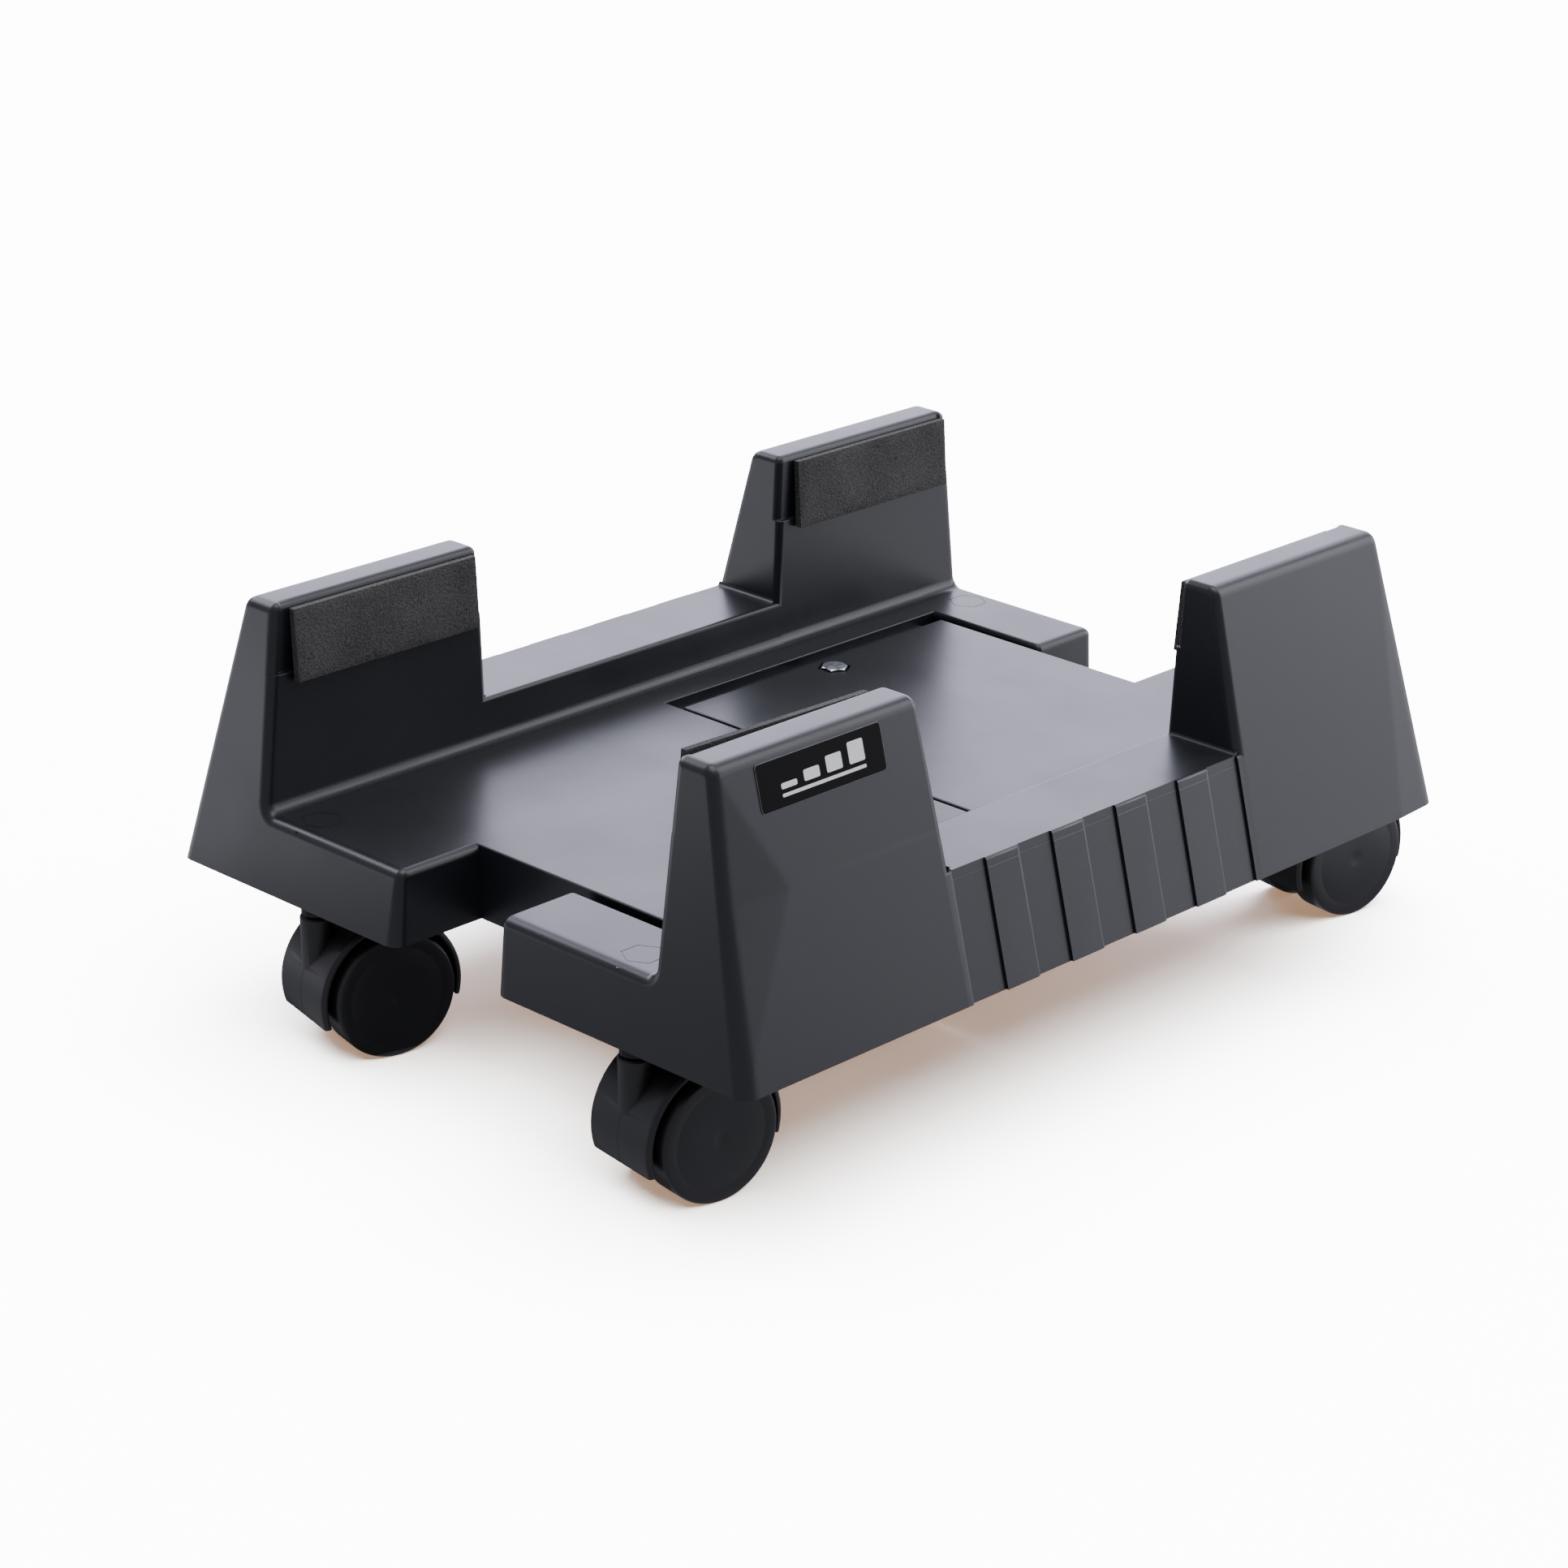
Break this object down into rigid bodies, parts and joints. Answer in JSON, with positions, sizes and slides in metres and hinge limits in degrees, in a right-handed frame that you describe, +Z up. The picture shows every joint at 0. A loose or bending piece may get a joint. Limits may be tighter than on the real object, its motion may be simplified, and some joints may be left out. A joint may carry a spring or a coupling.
{
  "type": "rolling computer tower stand",
  "caption": "Width-adjustable black plastic stand for a computer tower: two sliding halves with padded corner towers on swivelling twin-wheel casters.",
  "frame": {"origin": "on the floor, under the middle of the overall box", "axes": "+X across the stand from the left half to the right half, the way it widens; +Y along the stand, the way the casters trail; +Z up"},
  "size_m": [0.244, 0.35, 0.1394],
  "materials": {
    "black_plastic": "black moulded polypropylene, fine satin grain",
    "caster_plastic": "black nylon, matte",
    "wheel_plastic": "black nylon, satin",
    "foam": "dark grey closed-cell foam, grainy",
    "sticker": "black printed sticker",
    "zinc_steel": "bright zinc plate",
    "dark_steel": "blackened steel"
  },
  "bodies": {
    "left_body": {"left_half": "black_plastic", "pad_left_front": "foam", "pad_left_rear": "foam", "bolt_left": "zinc_steel", "washer_left": "zinc_steel", "caster_front_left_pin": "dark_steel", "caster_front_left_grip_ring": "dark_steel", "caster_rear_left_pin": "dark_steel", "caster_rear_left_grip_ring": "dark_steel"},
    "right_body": {"right_half": "black_plastic", "pad_right_front": "foam", "pad_right_rear": "foam", "label": "sticker", "bolt_right": "zinc_steel", "washer_right": "zinc_steel", "caster_front_right_pin": "dark_steel", "caster_front_right_grip_ring": "dark_steel", "caster_rear_right_pin": "dark_steel", "caster_rear_right_grip_ring": "dark_steel"},
    "wing_nut_left_body": {"wing_nut_left": "zinc_steel"},
    "wing_nut_right_body": {"wing_nut_right": "zinc_steel"},
    "caster_front_right_swivel_body": {"caster_front_right_hood": "caster_plastic", "caster_front_right_axle": "dark_steel"},
    "caster_front_right_wheel_left_body": {"caster_front_right_wheel_left": "wheel_plastic"},
    "caster_front_right_wheel_right_body": {"caster_front_right_wheel_right": "wheel_plastic"},
    "caster_front_left_swivel_body": {"caster_front_left_hood": "caster_plastic", "caster_front_left_axle": "dark_steel"},
    "caster_front_left_wheel_left_body": {"caster_front_left_wheel_left": "wheel_plastic"},
    "caster_front_left_wheel_right_body": {"caster_front_left_wheel_right": "wheel_plastic"},
    "caster_rear_right_swivel_body": {"caster_rear_right_hood": "caster_plastic", "caster_rear_right_axle": "dark_steel"},
    "caster_rear_right_wheel_left_body": {"caster_rear_right_wheel_left": "wheel_plastic"},
    "caster_rear_right_wheel_right_body": {"caster_rear_right_wheel_right": "wheel_plastic"},
    "caster_rear_left_swivel_body": {"caster_rear_left_hood": "caster_plastic", "caster_rear_left_axle": "dark_steel"},
    "caster_rear_left_wheel_left_body": {"caster_rear_left_wheel_left": "wheel_plastic"},
    "caster_rear_left_wheel_right_body": {"caster_rear_left_wheel_right": "wheel_plastic"}
  },
  "joints": [
    {"name": "width_slide", "type": "slide", "parent": "left_body", "child": "right_body", "axis": [1, 0, 0], "range_m": [-0.0068, 0.065]},
    {"name": "wing_nut_right_turn", "type": "hinge", "parent": "right_body", "child": "wing_nut_right_body", "pos_m": [-0.0549, 0.046, 0.0636], "axis": [0, 0, 1], "range_deg": [-360, 0]},
    {"name": "wing_nut_left_turn", "type": "hinge", "parent": "left_body", "child": "wing_nut_left_body", "pos_m": [0.0549, -0.08, 0.0636], "axis": [0, 0, 1], "range_deg": [-360, 0]},
    {"name": "caster_front_right_swivel", "type": "hinge", "parent": "right_body", "child": "caster_front_right_swivel_body", "pos_m": [0.069, -0.1652, 0.0448], "axis": [0, 0, 1], "continuous": true},
    {"name": "caster_front_right_wheel_left_roll", "type": "hinge", "parent": "caster_front_right_swivel_body", "child": "caster_front_right_wheel_left_body", "pos_m": [0.07151, -0.14738, 0.02], "axis": [0.9903, -0.1392, 0], "continuous": true},
    {"name": "caster_front_right_wheel_right_roll", "type": "hinge", "parent": "caster_front_right_swivel_body", "child": "caster_front_right_wheel_right_body", "pos_m": [0.07151, -0.14738, 0.02], "axis": [0.9903, -0.1392, 0], "continuous": true},
    {"name": "caster_front_left_swivel", "type": "hinge", "parent": "left_body", "child": "caster_front_left_swivel_body", "pos_m": [-0.069, -0.1652, 0.0448], "axis": [0, 0, 1], "continuous": true},
    {"name": "caster_front_left_wheel_left_roll", "type": "hinge", "parent": "caster_front_left_swivel_body", "child": "caster_front_left_wheel_left_body", "pos_m": [-0.06498, -0.14765, 0.02], "axis": [0.9748, -0.2233, 0], "continuous": true},
    {"name": "caster_front_left_wheel_right_roll", "type": "hinge", "parent": "caster_front_left_swivel_body", "child": "caster_front_left_wheel_right_body", "pos_m": [-0.06498, -0.14765, 0.02], "axis": [0.9748, -0.2233, 0], "continuous": true},
    {"name": "caster_rear_right_swivel", "type": "hinge", "parent": "right_body", "child": "caster_rear_right_swivel_body", "pos_m": [0.069, 0.1312, 0.0448], "axis": [0, 0, 1], "continuous": true},
    {"name": "caster_rear_right_wheel_left_roll", "type": "hinge", "parent": "caster_rear_right_swivel_body", "child": "caster_rear_right_wheel_left_body", "pos_m": [0.07182, 0.14898, 0.02], "axis": [0.9877, -0.1564, 0], "continuous": true},
    {"name": "caster_rear_right_wheel_right_roll", "type": "hinge", "parent": "caster_rear_right_swivel_body", "child": "caster_rear_right_wheel_right_body", "pos_m": [0.07182, 0.14898, 0.02], "axis": [0.9877, -0.1564, 0], "continuous": true},
    {"name": "caster_rear_left_swivel", "type": "hinge", "parent": "left_body", "child": "caster_rear_left_swivel_body", "pos_m": [-0.069, 0.1312, 0.0448], "axis": [0, 0, 1], "continuous": true},
    {"name": "caster_rear_left_wheel_left_roll", "type": "hinge", "parent": "caster_rear_left_swivel_body", "child": "caster_rear_left_wheel_left_body", "pos_m": [-0.06587, 0.14893, 0.02], "axis": [0.9848, -0.1736, 0], "continuous": true},
    {"name": "caster_rear_left_wheel_right_roll", "type": "hinge", "parent": "caster_rear_left_swivel_body", "child": "caster_rear_left_wheel_right_body", "pos_m": [-0.06587, 0.14893, 0.02], "axis": [0.9848, -0.1736, 0], "continuous": true}
  ]
}
